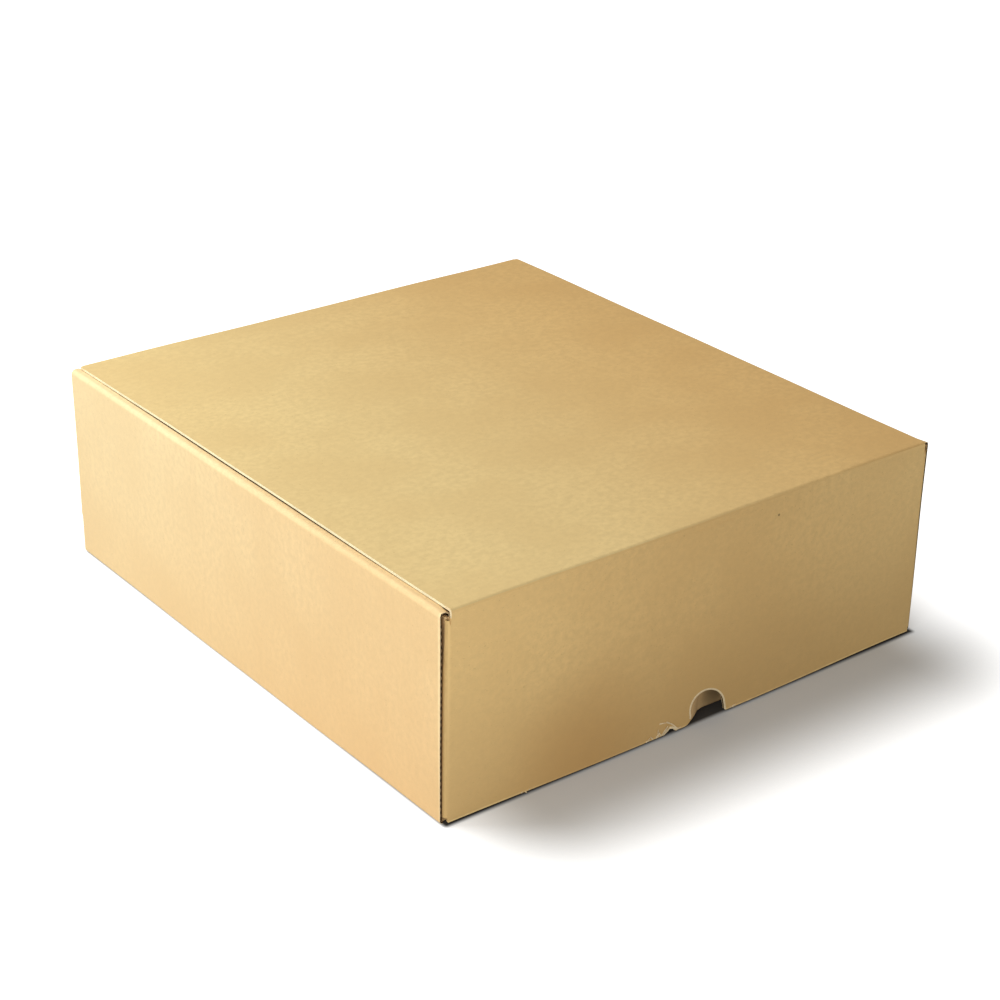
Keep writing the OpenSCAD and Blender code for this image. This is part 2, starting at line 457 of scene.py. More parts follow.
class Finish:
    """A material under construction."""

    def __init__(self, name):
        self.material = bpy.data.materials.new(name)
        self.material.use_nodes = True
        self.tree = self.material.node_tree
        self.shader = self.tree.nodes["Principled BSDF"]

    def put(self, value, socket):
        if isinstance(value, bpy.types.NodeSocket):
            self.tree.links.new(value, socket)
        else:
            socket.default_value = value

    def node(self, kind, *values, **settings):
        """New node with its settings, and values or links on its first sockets."""
        made = self.tree.nodes.new(kind)
        for key, value in settings.items():
            setattr(made, key, value)
        for value, socket in zip(values, made.inputs):
            self.put(value, socket)
        return made

    def math(self, operation, *values):
        return self.node("ShaderNodeMath", *values, operation=operation).outputs[0]

    def vector(self, operation, *values):
        return self.node("ShaderNodeVectorMath", *values, operation=operation)

    def between(self, factor, low, high):
        """Number between low and high."""
        made = self.node("ShaderNodeMix", factor, data_type="FLOAT")
        self.put(low, made.inputs[2])
        self.put(high, made.inputs[3])
        return made.outputs[0]

    def tint(self, factor, low, high):
        """Colour between low and high."""
        made = self.node("ShaderNodeMix", factor, data_type="RGBA")
        self.put(low, made.inputs[6])
        self.put(high, made.inputs[7])
        return made.outputs[2]

    def wash(self, colour, factor, low, high):
        """Colour under a thin wash that turns from low to high."""
        made = self.node("ShaderNodeMix", 1.0, data_type="RGBA", blend_type="MULTIPLY")
        self.put(colour, made.inputs[6])
        self.put(self.tint(factor, low, high), made.inputs[7])
        return made.outputs[2]

    def spread(self, value, low, high, to_low=0.0, to_high=1.0):
        """Number that eases from to_low to to_high while the value goes from low to high."""
        return self.node(
            "ShaderNodeMapRange", value, low, high, to_low, to_high, interpolation_type="SMOOTHSTEP").outputs[0]

    def noise(self, vector, scale, detail=3.0, roughness=0.5):
        made = self.node("ShaderNodeTexNoise", self.vector("MULTIPLY", vector, scale).outputs[0])
        made.inputs["Scale"].default_value = 1.0
        made.inputs["Detail"].default_value = detail
        made.inputs["Roughness"].default_value = roughness
        return made.outputs["Fac"]

    def place(self):
        return self.node("ShaderNodeTexCoord").outputs["Object"]

    def facing(self):
        """The face's own normal, in parts."""
        return self.node("ShaderNodeSeparateXYZ", self.node("ShaderNodeNewGeometry").outputs["True Normal"])

    def on_the_sheet(self):
        """Place across the flutes, and place on the sheet: across them, along them and through them.

        The side walls are turned up."""
        place = self.node("ShaderNodeSeparateXYZ", self.place())
        side = self.math("GREATER_THAN", self.math("ABSOLUTE", self.facing().outputs[0]), 0.7)
        across = self.between(side, place.outputs[0], place.outputs[2])
        through = self.between(side, place.outputs[2], place.outputs[0])
        return across, self.node("ShaderNodeCombineXYZ", across, place.outputs[1], through).outputs[0]

    def faces_front(self):
        """1 on faces towards the front, only for pieces that never turn."""
        return self.math("LESS_THAN", self.facing().outputs[1], -0.2)

    def finish(self, colour, roughness, height, strength):
        self.put(colour, self.shader.inputs["Base Color"])
        self.put(roughness, self.shader.inputs["Roughness"])
        self.shader.inputs["Specular IOR Level"].default_value = 0.22
        bump = self.node("ShaderNodeBump")
        bump.inputs["Strength"].default_value = strength
        bump.inputs["Distance"].default_value = 0.0002
        self.put(height, bump.inputs["Height"])
        self.put(bump.outputs[0], self.shader.inputs["Normal"])
        return self.material


def shade(colour, factor, warmth=1.0):
    """Colour made lighter or darker; a warmth over 1 takes green and blue out of it."""
    return (colour[0] * factor, colour[1] * factor / warmth, colour[2] * factor / warmth ** 2, 1.0)


# Grain of the paper: features per metre across the flutes, along them and through them
CLOUD = (17.0, 20.0, 20.0)
MOTTLE = (300.0, 340.0, 340.0)
FIBRE = (900.0, 2400.0, 2400.0)
SPECK = (820.0, 1100.0, 1100.0)
FUZZ = (1600.0, 1600.0, 1600.0)
PATCH = (140.0, 140.0, 140.0)
RAW_FUZZ = (900.0, 1300.0, 900.0)

# Height above the floor that the painted floor shade reaches
FLOOR_SHADE_TOP_Z = 0.095


def kraft_liner(name, colour, light_drift, floor_shade, crests, spots):
    """Brown kraft paper: cloudy tone, fine mottle, short fibres and specks, painted shade low down, a painted
    drift of light across each piece, and bands and spots that are partly wear and specks and partly painted
    shade and highlight.

    Light drift is the weights of the place's x, |x| and y, where it starts and ends, and its looks at both
    ends.
    Floor shade is how much painted shade lies at the floor, and its look. A crest is the weights of the place's
    |x|, y and z, where it starts and peaks, how strong it is, and its look. A spot is its middle, its core and
    reach, how strong it is, its look, and whether only faces towards the front have it. A look is a light
    factor and a warmth."""
    made = Finish(name)
    across, sheet = made.on_the_sheet()
    cloud = made.noise(sheet, CLOUD)
    mottle = made.noise(sheet, MOTTLE, 5.0, 0.6)
    fibre = made.noise(sheet, FIBRE, 3.0, 0.55)
    speck = made.noise(sheet, SPECK, 2.0)
    tone = made.tint(made.spread(mottle, 0.25, 0.75), shade(colour, 0.925), shade(colour, 1.065))
    tone = made.tint(made.spread(cloud, 0.32, 0.68, 0.0, 0.6), tone, shade(colour, 0.93, 1.035))
    tone = made.tint(made.spread(fibre, 0.56, 0.78, 0.0, 0.45), tone, shade(colour, 1.15, 0.95))
    tone = made.tint(made.spread(speck, 0.67, 0.77, 0.0, 0.5), tone, shade(colour, 0.62, 1.08))

    x, y, z = made.node("ShaderNodeSeparateXYZ", made.place()).outputs
    from_middle = made.math("ABSOLUTE", x)
    # Painted shade: darker and browner towards the floor
    amount, look = floor_shade
    tone = made.tint(made.spread(z, 0.0, FLOOR_SHADE_TOP_Z, amount, 0.0), tone, shade(colour, *look))
    folded = made.node("ShaderNodeCombineXYZ", from_middle, y, z).outputs[0]
    # Crests: bands paler from rubbing, on the rolled edges partly as a painted highlight, and the ears darker
    # as painted shade
    for weights, start, peak, strength, look in crests:
        height = made.vector("DOT_PRODUCT", folded, weights).outputs["Value"]
        patchy = made.spread(mottle, 0.2, 0.7, 0.45, 1.0)
        crest_mask = made.math("MULTIPLY", made.spread(height, start, peak), patchy)
        tone = made.tint(made.math("MULTIPLY", crest_mask, strength), tone, shade(colour, *look))
    for middle, core, reach, strength, look, on_front in spots:
        distance = made.vector("DISTANCE", made.place(), middle).outputs["Value"]
        stain = made.spread(distance, core, reach, strength, 0.0)
        if on_front:
            stain = made.math("MULTIPLY", stain, made.faces_front())
        tone = made.tint(stain, tone, shade(colour, *look))
    # Painted light: a wash that turns the tone across the piece where the light grazes or falls off
    weights, start, end, first, last = light_drift
    along = made.node("ShaderNodeCombineXYZ", x, from_middle, y).outputs[0]
    drift_value = made.vector("DOT_PRODUCT", along, weights).outputs["Value"]
    white = (1.0, 1.0, 1.0)
    tone = made.wash(tone, made.spread(drift_value, start, end), shade(white, *first), shade(white, *last))

    waves = 2 * math.pi / bpy.context.scene.mailer_board.pitch
    ridge = made.math("SINE", made.math("MULTIPLY", across, waves))
    relief = made.math("MULTIPLY_ADD", mottle, 0.6, made.math("MULTIPLY", fibre, 0.5))
    relief = made.math("MULTIPLY_ADD", ridge, 0.05, relief)
    return made.finish(tone, made.spread(mottle, 0.3, 0.7, 0.80, 0.94), relief, 0.25)


def cut_paper(name, colour):
    """Cut edge of the liners, fuzzy and paler than their faces."""
    made = Finish(name)
    sheet = made.on_the_sheet()[1]
    fuzz = made.noise(sheet, FUZZ, 4.0, 0.65)
    patch = made.noise(sheet, PATCH, 3.0, 0.55)
    tone = made.tint(made.spread(fuzz, 0.3, 0.7), shade(colour, 0.84), shade(colour, 1.12))
    tone = made.tint(made.spread(patch, 0.45, 0.75, 0.0, 0.45), tone, shade(colour, 0.72))
    return made.finish(tone, 0.9, fuzz, 0.5)


def raw_paper(name, colour):
    """Unlined paper inside the board, dark and rough."""
    made = Finish(name)
    fuzz = made.noise(made.on_the_sheet()[1], RAW_FUZZ, 4.0, 0.6)
    tone = made.tint(made.spread(fuzz, 0.3, 0.7), shade(colour, 0.72), shade(colour, 1.25))
    return made.finish(tone, 0.95, fuzz, 0.4)


# Looks of paper paler from rubbing and partly as a painted highlight, of darkened paper, of browner paper as
# painted shade, and of dark specks and painted shade: light factor and warmth
RUBBED_AND_HIGHLIT = (1.22, 0.93)
DARKENED = (0.70, 1.04)
SHADED_BROWN = (0.68, 1.16)
DARK_SPECK_AND_SHADE = (0.30, 1.05)

# Sums of the places where two panels meet at a fold
ROLL_SUM = HALF_W + SIDE_H
WALL_END_SUM = HALF_W - FRONT_Y
REAR_SUM = BACK_Y + TOP_Z
FRONT_SUM = TOP_Z - FLAP_Y
EAR_SUM = FLAP_HALF + FLAP_Y

# Paler from rubbing are the front edges of the side walls, the rear crease and the flap's bottom edge; the
# rolled edges are paler partly from rubbing and partly as a painted highlight; darker are the front crease, and
# the ears as painted shade
CRESTS = {
    "tray": [
        # Paler band along the rolled edges: partly rubbed paper and partly a painted highlight where the roll
        # turns to the light
        ((1.0, 0.0, 1.0), ROLL_SUM - ROLL_OUT + 0.0001, ROLL_SUM - 0.55 * ROLL_OUT, 0.3, RUBBED_AND_HIGHLIT),
        ((1.0, -1.0, 0.0), WALL_END_SUM - 0.0016, WALL_END_SUM - 0.0004, 0.9, RUBBED_AND_HIGHLIT),
    ],
    "lid": [((0.0, 1.0, 1.0), REAR_SUM - 0.0017, REAR_SUM - 0.0010, 0.4, RUBBED_AND_HIGHLIT)],
    "flap": [
        # The front crease darker along its fold
        ((0.0, -1.0, 1.0), FRONT_SUM - 0.0017, FRONT_SUM - 0.0010, 0.35, DARKENED),
        ((0.0, 0.0, -1.0), -FLAP_RISE - 0.0011, -FLAP_RISE, 0.7, RUBBED_AND_HIGHLIT),
        # The ears darker as painted shade, where they turn into the slot beside the wall's front edge
        ((1.0, 1.0, 0.0), EAR_SUM + 0.0002, EAR_SUM + 0.0016, 1.0, DARKENED),
    ],
}

# Painted shade on the wall behind the thumb notch, a browner patch low on the flap as painted shade, and a dark
# speck near the flap's crease
SPOTS = {
    # Painted shade: the wall's front faces darken behind the right half of the thumb notch
    "tray": [((NOTCH_X + 0.011, FRONT_Y, 0.006), 0.004, 0.013, 0.9, DARK_SPECK_AND_SHADE, True)],
    "lid": [],
    "flap": [
        # Painted shade: the flap browner and darker low down left of the middle
        ((-0.075, FLAP_Y, 0.010), 0.005, 0.055, 0.65, SHADED_BROWN, False),
        ((0.0464, FLAP_Y, 0.0970), 0.0003, 0.0009, 0.9, DARK_SPECK_AND_SHADE, False),
    ],
}

# Painted light: each piece's tone turns across it where the light grazes or falls off; the tray paler towards
# the back, the lid browner towards its right, the flap paler towards both ends
LIGHT_DRIFT = {
    "tray": ((0.0, 0.0, 1.0), -0.17, 0.17, (0.98, 1.04), (1.0, 0.94)),
    "lid": ((1.0, 0.0, 0.0), -0.10, 0.16, (1.01, 0.945), (1.0, 1.10)),
    "flap": ((0.0, 1.0, 0.0), 0.03, 0.15, (0.97, 1.02), (1.10, 0.985)),
}

# How much painted shade lies on the paper at the floor, and its look: darker and browner towards the floor
FLOOR_SHADE = {"tray": (0.5, (0.97, 1.12)), "lid": (0.0, DARKENED), "flap": (0.6, (0.66, 1.06))}


def colour_of(part):
    return tuple(getattr(bpy.context.scene.mailer_colours, part))


def liner_of(part):
    name = f"kraft_{part}"
    return bpy.data.materials.get(name) or kraft_liner(
        name, colour_of(part), LIGHT_DRIFT[part], FLOOR_SHADE[part], CRESTS[part], SPOTS[part])


def edge_finish(part="edge"):
    name = f"cut_{part}"
    return bpy.data.materials.get(name) or cut_paper(name, colour_of(part))


def raw_finish(part):
    name = f"raw_{part}"
    return bpy.data.materials.get(name) or raw_paper(name, colour_of(part))


def board_finishes(part):
    """Liner, cut edge and hollow of one panel of the sheet."""
    return liner_of(part), edge_finish(), raw_finish("hollow")


# Pieces

class MAILER_OT_tray_board(bpy.types.Operator):
    """Base, front and back wall and rolled side walls, with the flutes open at the cut edges"""

    bl_idname = "mailer.tray_board"
    bl_label = "Tray Board"

    def in_outer_half(self, place):
        """Whether a place on a side wall's section lies in the outer half of the board."""
        x, z = abs(place.x), place.z
        middle = ROLL_OUT - BOARD_T / 2
        roll_z = SIDE_H - ROLL_OUT
        if z < FOLD_OUT:
            return math.hypot(max(x - HALF_W + FOLD_OUT, 0.0), z - FOLD_OUT) > FOLD_OUT - BOARD_T / 2
        if z < roll_z:
            return x > HALF_W - BOARD_T / 2
        past = max(x - HALF_W + ROLL_OUT, INNER_X + ROLL_OUT - x, 0.0)
        return math.hypot(past, z - roll_z) > middle

    def open_edges(self, tray, deep):
        """Hollows the side walls' ends and the front wall's top; the inner liners' cut edges get the hollow's
        near-black colour as painted shade.
        """
        for place, way in ((FRONT_Y, 1.0), (BACK_Y, -1.0)):
            def at_end(centre, normal):
                return normal.y * way < -0.99 and abs(centre.y - place) < SAME

            open_flutes(
                tray, lambda c, n: at_end(c, n) and abs(c.x) > SIDE_WALL_X, (0.0, way * deep, 0.0))
            paint_faces(
                tray, SHADED_HOLLOW, lambda c, n: at_end(c, n) and abs(c.x) > INNER_X and not self.in_outer_half(c))
        open_flutes(
            tray, lambda c, n: n.z > 0.99 and abs(c.z - SIDE_H) < SAME and abs(c.x) < 0.01, (0.0, 0.0, -deep))

    def press_in_front_wall(self, tray, bow):
        """Dents the front wall's foot behind the right half of the thumb notch; left of it the foot bulges."""
        slice_up(tray, (1.0, 0.0, 0.0), [NOTCH_X + 0.004 * i for i in range(-4, 9)])
        slice_up(tray, (0.0, 0.0, 1.0), (0.0055, 0.0115, 0.0145, 0.0205, 0.0260))
        for aside, core, push, reach in ((0.010, 0.0075, bow, 0.016), (-0.010, 0.0060, -0.0016, 0.010)):
            middle = Vector((NOTCH_X + aside, FRONT_Y, 0.004))
            press(
                tray, lambda p: p.y < FRONT_Y + 2 * BOARD_T and (p - middle).length < core,
                (0.0, push, 0.0), reach)

    def curl_rolls(self, tray, curl):
        """Curls the inner half of each rolled edge in at its front end."""
        def at_front_end(place):
            return place.y < FRONT_Y + SAME and place.z > SHOULDER_Z

        for side in (-1, 1):
            press(
                tray, lambda p: INNER_X - SAME < p.x * side < HALF_W - ROLL_OUT and at_front_end(p),
                (side * curl, 0.0, 0.0), 0.003)

    def swell_rolls(self, tray):
        """Lets the rolled edges rise to the lid."""
        move(tray, lambda p: abs(p.x) > INNER_X and p.z > SIDE_H - 0.0007, (0.0, 0.0, 0.00010))

    def nick_rear_edge(self, tray):
        """Knocks the lower end of the left wall's rear edge in a little."""
        knocked = 0.0215
        slice_up(tray, (0.0, 0.0, 1.0), (knocked, knocked + 0.0012))
        move(
            tray, lambda p: p.x < -KNOCKED_X and p.y > BACK_Y - SAME and p.z < knocked + SAME,
            (0.0, -0.0007, 0.0))

    def execute(self, context):
        board = context.scene.mailer_board
        tray = board_from("tray", "tray_board")
        give(tray, *board_finishes("tray"))
        pick(tray, faces=lambda c, n: c.y > BACK_WALL_Y and abs(c.x) < CREASE_HALF + 0.0001)
        trim((0.0, BACK_Y, BACK_TRIM_Z), (0.0, 0.0, 1.0))
        close()
        self.open_edges(tray, board.open_depth)
        slice_up(tray, (1.0, 0.0, 0.0), steps(-HALF_W, HALF_W, STRIPS_ACROSS))
        slice_up(tray, (0.0, 1.0, 0.0), steps(FRONT_Y, BACK_Y, STRIPS_ALONG))
        slice_up(tray, (0.0, 0.0, 1.0), steps(0.003, 0.1030, 9))
        self.press_in_front_wall(tray, board.wall_bow)
        self.curl_rolls(tray, board.roll_curl)
        self.swell_rolls(tray)
        self.nick_rear_edge(tray)
        relax(tray)
        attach(tray, "tray")
        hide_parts("tray")
        return {"FINISHED"}


class MAILER_OT_lid_board(bpy.types.Operator):
    """Top panel between its two creases"""

    bl_idname = "mailer.lid_board"
    bl_label = "Lid Board"

    def execute(self, context):
        lid = board_from("lid", "lid_board")
        give(lid, liner_of("lid"), edge_finish("rim"))
        for place, outward in ((LID_FRONT_Y, -1.0), (LID_REAR_Y, 1.0)):
            edit_all(lid)
            trim((0.0, place, 0.0), (0.0, outward, 0.0))
            close()
        paint_faces(lid, CUT_EDGE, lambda c, n: abs(n.x) > 0.99)
        slice_up(lid, (1.0, 0.0, 0.0), steps(-LID_HALF, LID_HALF, STRIPS_ACROSS))
        slice_up(lid, (0.0, 1.0, 0.0), steps(LID_FRONT_Y, LID_REAR_Y, STRIPS_ALONG))
        press(
            lid, lambda p: p.x < 0.001 - LID_HALF and abs(p.y) < 0.06,
            (0.0, 0.0, context.scene.mailer_board.lid_bow), 0.10)
        relax(lid)
        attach(lid, "lid")
        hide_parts("lid")
        return {"FINISHED"}


class MAILER_OT_flap_board(bpy.types.Operator):
    """Front flap with its thumb notch, torn edge and tuck ears"""

    bl_idname = "mailer.flap_board"
    bl_label = "Front Flap Board"

    def scuff_notch(self, flap, width):
        """Rubs the outside paper pale round the thumb notch and the tear."""
        def outside(centre, normal):
            return normal.y < -0.99 and centre.y < FLAP_Y + SAME

        def scuffed(corner):
            notch = math.hypot(corner.x - NOTCH_X, max(corner.z - NOTCH_Z, 0.0)) < NOTCH_R + 1.5 * width
            tear = abs(corner.x - TEAR_X) < 0.0050 and corner.z < FLAP_RISE + 0.0050
            return notch or tear

        pick(flap, faces=outside)
        bpy.ops.mesh.inset(thickness=width, use_even_offset=True, use_boundary=True)
        close()
        paint_faces(flap, CUT_EDGE, outside, scuffed)

    def press_down_notch(self, flap, wear):
        """Flattens the top of the thumb notch."""
        def at_top(place):
            out = math.hypot(place.x - NOTCH_X, place.z - NOTCH_Z)
            return place.z > NOTCH_Z and out < NOTCH_R + 0.002 and place.y < FLAP_Y + 0.002

        pick(flap, verts=at_top)
        bpy.ops.transform.resize(
            value=(1.0, 1.0, 1.0 - wear / NOTCH_R), center_override=(NOTCH_X, FLAP_Y, NOTCH_Z))
        close()

    def lean_notch(self, flap):
        """Leans the thumb notch to the left, more and more towards its top."""
        def at_notch(place):
            beside = abs(place.x - NOTCH_X) < NOTCH_R + 0.0025 and place.y < FLAP_Y + 0.002
            return beside and NOTCH_FOOT_Z < place.z < NOTCH_Z + NOTCH_R + 0.002

        heights = {round(v.co.z, 5) for v in flap.data.vertices if at_notch(v.co)}
        for z in sorted(heights, reverse=True):
            move(flap, lambda p: at_notch(p) and round(p.z, 5) == z, (-leaned(z), 0.0, 0.0))

    def raise_shoulders(self, flap):
        """Carries the ear folds up to the ends of the rolled edges, in a curve from the shoulders."""
        for side in (-1.0, 1.0):
            move(
                flap,
                lambda p: p.x * side > FLAP_HALF - SAME and p.y < FRONT_Y and p.z > EAR_TOP_Z - 0.0001,
                (0.0, 0.0, 0.0021))

    def lean_ears(self, flap, lean):
        """Leans each ear in at the top and out at the bottom."""
        middle_z = (FLAP_RISE + EAR_TOP_Z) / 2
        for side in (-1.0, 1.0):
            pick(flap, verts=lambda p: p.x * side > FLAP_HALF - 0.0003 and p.z < EAR_TOP_Z + 0.0001)
            bpy.ops.transform.rotate(
                value=side * math.atan(lean / middle_z), orient_axis="Y",
                center_override=(side * FLAP_HALF, FLAP_Y, middle_z))
            close()

    def execute(self, context):
        board = context.scene.mailer_board
        flap = board_from("front_flap", "flap_board")
        give(flap, *board_finishes("flap"))
        edit_all(flap)
        trim((0.0, 0.0, FLAP_TRIM_Z), (0.0, 0.0, 1.0))
        close()
        open_flutes(
            flap,
            lambda c, n: (
                abs(n.y) < 0.1 and c.y < FLAP_Y + BOARD_T and c.z < NOTCH_TOP_Z and abs(c.x) < FLAP_END_X),
            board.rim_depth)
        self.scuff_notch(flap, board.worn_rim)
        slice_up(flap, (1.0, 0.0, 0.0), steps(-HALF_W, HALF_W, STRIPS_ACROSS))
        slice_up(flap, (0.0, 0.0, 1.0), steps(0.019, FLAP_TRIM_Z, 8))
        self.press_down_notch(flap, board.notch_wear)
        self.lean_notch(flap)
        self.lean_ears(flap, board.ear_lean)
        self.raise_shoulders(flap)
        bow_out(flap)
        relax(flap)
        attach(flap, "front_flap")
        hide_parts("front_flap")
        return {"FINISHED"}


class MAILER_OT_creases(bpy.types.Operator):
    """Bent board over the rear and front creases"""

    bl_idname = "mailer.creases"
    bl_label = "Creases"

    def bent_strip(self, name, half, lid_y, fold_y, foot_z, finishes):
        """Sheet folded over a top edge: laid flat, turned down, its fold rounded, then made thick."""
        def on_fold(place):
            return abs(place.y - fold_y) < SAME

        clear_selection()
        bpy.ops.mesh.primitive_plane_add(size=1.0, location=(0.0, (lid_y + fold_y) / 2, TOP_Z))
        strip = bpy.context.object
        strip.name = name
        strip.data.name = name
        bpy.ops.transform.resize(value=(2 * half, abs(fold_y - lid_y), 1.0))
        bpy.ops.object.transform_apply(location=True, rotation=True, scale=True)
        pick(strip, edges=lambda a, b: on_fold(a) and on_fold(b))
        bpy.ops.mesh.extrude_region_move(TRANSFORM_OT_translate={"value": (0.0, 0.0, foot_z - TOP_Z)})
        close()
        pick(strip, edges=lambda a, b: all(on_fold(p) and abs(p.z - TOP_Z) < SAME for p in (a, b)))
        bpy.ops.mesh.bevel(
            offset=bpy.context.scene.mailer_board.fold_r, segments=10, affect="EDGES", profile=0.5)
        bpy.ops.mesh.select_all(action="SELECT")
        bpy.ops.mesh.normals_make_consistent(inside=False)
        close()
        if min(p.normal.z for p in strip.data.polygons) < -0.5:
            edit_all(strip)
            bpy.ops.mesh.flip_normals()
            close()
        modify(strip, "SOLIDIFY", thickness=BOARD_T, offset=-1.0, use_even_offset=True)
        give(strip, *finishes)
        paint_faces(strip, CUT_EDGE, lambda c, n: abs(n.x) > 0.9)
        slice_up(strip, (1.0, 0.0, 0.0), steps(-HALF_W, HALF_W, STRIPS_ACROSS))
        return strip

    def execute(self, context):
        finishes = board_finishes("lid")
        rear = self.bent_strip("rear_crease", CREASE_HALF, LID_REAR_Y, BACK_Y, BACK_TRIM_Z, finishes)
        slice_up(rear, (0.0, 1.0, 0.0), (WIDE_Y,))
        for side in (-1, 1):
            move(
                rear, lambda p: p.x * side > CREASE_HALF - SAME and p.y < WIDE_Y + SAME,
                (side * (LID_HALF - CREASE_HALF), 0.0, 0.0))
        relax(rear)
        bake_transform(rear)
        finishes = board_finishes("flap") + (liner_of("lid"),)
        front = self.bent_strip("front_crease", LID_HALF, LID_FRONT_Y, FLAP_Y, FLAP_TRIM_Z, finishes)
        paint_faces(front, LID_LINER, lambda c, n: n.z > 0.6)
        relax(front)
        # The bend starts in front of the wall, so that the fold stays clear of the wall's top
        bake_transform(front)
        return {"FINISHED"}


class MAILER_OT_flutes(bpy.types.Operator):
    """Wavy paper that shows in the hollow edges of the tray and the flap"""

    bl_idname = "mailer.flutes"
    bl_label = "Flutes"

    def wavy_strip(self, name, path, depth, edge_on=False):
        """One flute shaped from a grid, repeated, thickened and led along a path drawn in a plane.

        The waves lie in that plane, or stand out of it where the strip is laid edge on."""
        board = bpy.context.scene.mailer_board
        length = sum((b - a).length for a, b in zip(path, path[1:]))
        count = max(1, round(length / board.pitch))
        pitch = length / count
        clear_selection()
        bpy.ops.mesh.primitive_grid_add(x_subdivisions=FLUTE_STEPS, y_subdivisions=1, size=1.0)
        strip = bpy.context.object
        strip.name = name
        bpy.ops.transform.resize(value=(pitch, depth, 1.0))
        settle(strip, (pitch / 2, depth / 2, 0.0))
        sway = (BOARD_T - 2 * board.liner - board.medium) / 2
        for step in range(1, FLUTE_STEPS):
            part = step / FLUTE_STEPS
            move(
                strip, lambda p: abs(p.x - pitch * part) < pitch / 100,
                (0.0, 0.0, sway * math.sin(2 * math.pi * part)))
        modify(
            strip, "ARRAY", use_relative_offset=False, use_constant_offset=True, count=count,
            constant_offset_displace=(pitch, 0.0, 0.0), use_merge_vertices=True, merge_threshold=pitch / 1000)
        modify(strip, "SOLIDIFY", thickness=board.medium, offset=0.0)
        if not edge_on:
            settle(strip, rotation=(math.pi / 2, 0.0, 0.0))
        guide = bpy.data.curves.new(f"{name}_path", "CURVE")
        guide.dimensions = "2D"
        line = guide.splines.new("POLY")
        line.points.add(len(path) - 1)
        for point, place in zip(line.points, path):
            point.co = (place.x, place.y, 0.0, 1.0)
        rail = bpy.data.objects.new(guide.name, guide)
        bpy.context.collection.objects.link(rail)
        bpy.context.view_layer.update()
        modify(strip, "CURVE", object=rail, deform_axis="POS_X")
        bpy.data.objects.remove(rail)
        bpy.data.curves.remove(guide)
        return strip

    def wall_path(self, side):
        """Middle of a side wall's section, from the base up the outside and over the roll, in x and z."""
        fold = FOLD_OUT - BOARD_T / 2
        roll = ROLL_OUT - BOARD_T / 2
        roll_z = SIDE_H - ROLL_OUT
        wall_x = HALF_W - BOARD_T / 2
        path = arc(HALF_W - FOLD_OUT, FOLD_OUT, fold, -90, 0, 5)
        path += straight((wall_x, FOLD_OUT), (wall_x, roll_z), 12)
        path += arc(HALF_W - ROLL_OUT, roll_z, roll, 0, 90, 7)
        path += arc(INNER_X + ROLL_OUT, roll_z, roll, 90, 180, 7)
        return [Vector((side * p.x, p.y)) for p in path]

    def execute(self, context):
        board = context.scene.mailer_board
        sunk = 0.0003
        deep = board.open_depth - 2 * sunk
        tray_strips = []
        for side in (-1, 1):
            for name, y in (("front", FRONT_Y + sunk + deep), ("rear", BACK_Y - sunk)):
                strip = self.wavy_strip(f"wall_{name}", self.wall_path(side), deep)
                settle(strip, (0.0, y, 0.0), (math.pi / 2, 0.0, 0.0))
                tray_strips.append(strip)
        wall_y = FRONT_Y + BOARD_T / 2
        ends = [Vector((side * CREASE_HALF, wall_y)) for side in (-1, 1)]
        top = self.wavy_strip("front_top", [ends[0]] + straight(*ends, 20) + [ends[1]], deep)
        settle(top, (0.0, 0.0, SIDE_H - sunk - deep))
        tray_flutes = join(tray_strips + [top], "tray_flutes")

        flap_y = FLAP_Y + BOARD_T / 2
        shallow = board.rim_depth - 2 * sunk
        flap_strips = []
        for low, high in ((-FLUTES_END_X, TEAR_X - 0.004), (NOTCH_X + NOTCH_R + 0.002, FLUTES_END_X)):
            ends = [Vector((low, flap_y)), Vector((high, flap_y))]
            strip = self.wavy_strip("flap_bottom", [ends[0]] + straight(*ends, 12) + [ends[1]], shallow)
            settle(strip, (0.0, 0.0, FLAP_RISE + sunk))
            flap_strips.append(strip)
        flat = 1.0 - board.notch_wear / NOTCH_R
        rim = arc(NOTCH_X, NOTCH_Z, NOTCH_R + sunk, 170, 10, 24)
        rim = [Vector((p.x, NOTCH_Z + (p.y - NOTCH_Z) * flat)) for p in rim]
        rim = [Vector((p.x - leaned(p.y), p.y)) for p in rim]
        notch = self.wavy_strip("notch", rim, shallow, edge_on=True)
        settle(notch, (0.0, flap_y, 0.0), (math.pi / 2, 0.0, 0.0))
        flap_flutes = join(flap_strips + [notch], "flap_flutes")

        bow_out(flap_flutes)
        laid = ((tray_flutes, "tray", "tray_board"), (flap_flutes, "front_flap", "flap_board"))
        for piece, body, slot in laid:
            give(piece, raw_finish("medium"))
            relax(piece)
            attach(piece, body)
        return {"FINISHED"}


